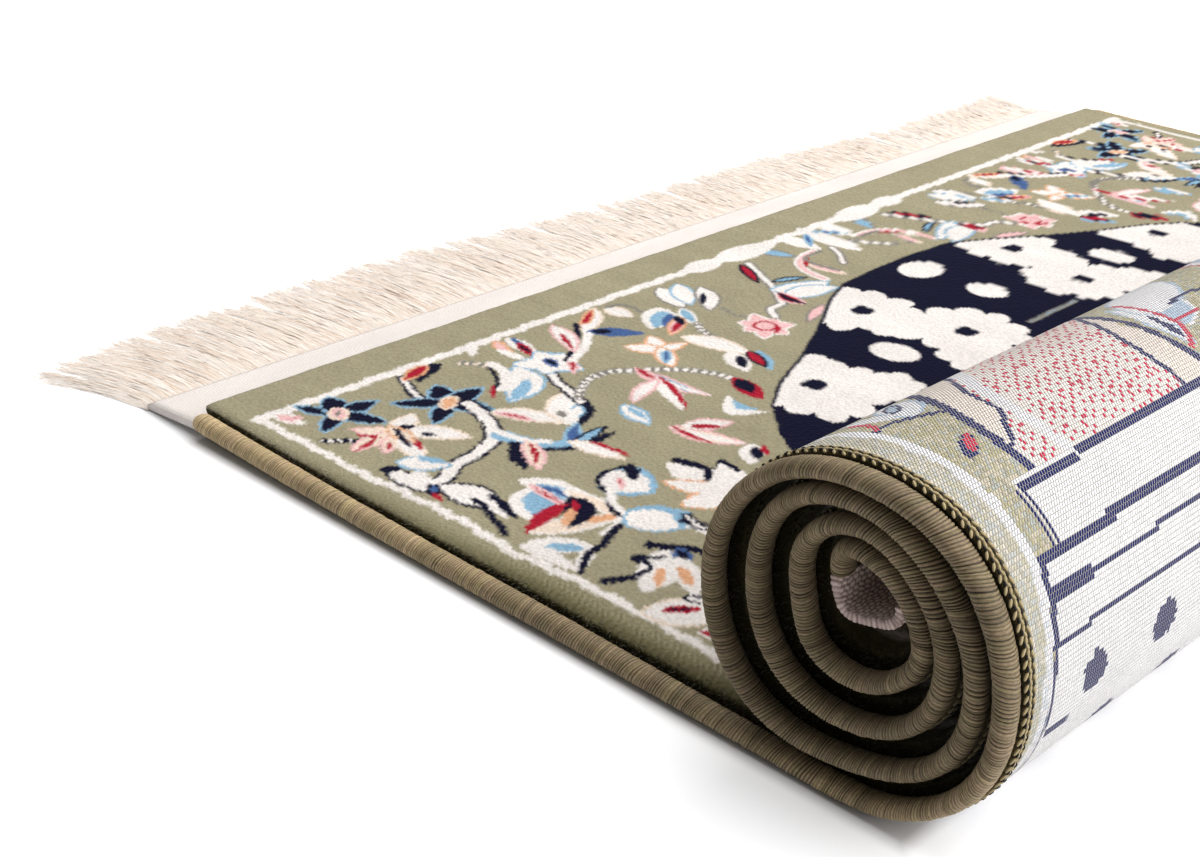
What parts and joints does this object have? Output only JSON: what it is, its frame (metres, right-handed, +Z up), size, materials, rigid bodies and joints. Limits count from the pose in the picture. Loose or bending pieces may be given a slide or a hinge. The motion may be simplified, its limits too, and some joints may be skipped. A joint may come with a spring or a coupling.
{
  "type": "prayer rug",
  "caption": "Woven prayer rug with cut pile, overcast side cords and a fringe, lying pile side up and partly rolled up.",
  "frame": {"origin": "on the floor, under the middle of the whole part's box, fringe included", "axes": "+X along the rug from the fringe to the roll, +Y across the rug along the roll's axis, +Z up, away from the floor"},
  "size_m": [0.5208, 0.7252, 0.1076],
  "materials": {
    "pile": "cut pile in olive with a woven flower design",
    "edge_thread": "olive thread wound tightly round the edge",
    "fringe_yarn": "loose cream yarn",
    "woven_ground": "flat weave of cream yarn, on the underside and at both ends"
  },
  "bodies": {
    "root": {"rug_cloth": "pile", "edge_cord_near": "edge_thread", "edge_cord_far": "edge_thread", "fringe": "fringe_yarn"}
  },
  "joints": []
}
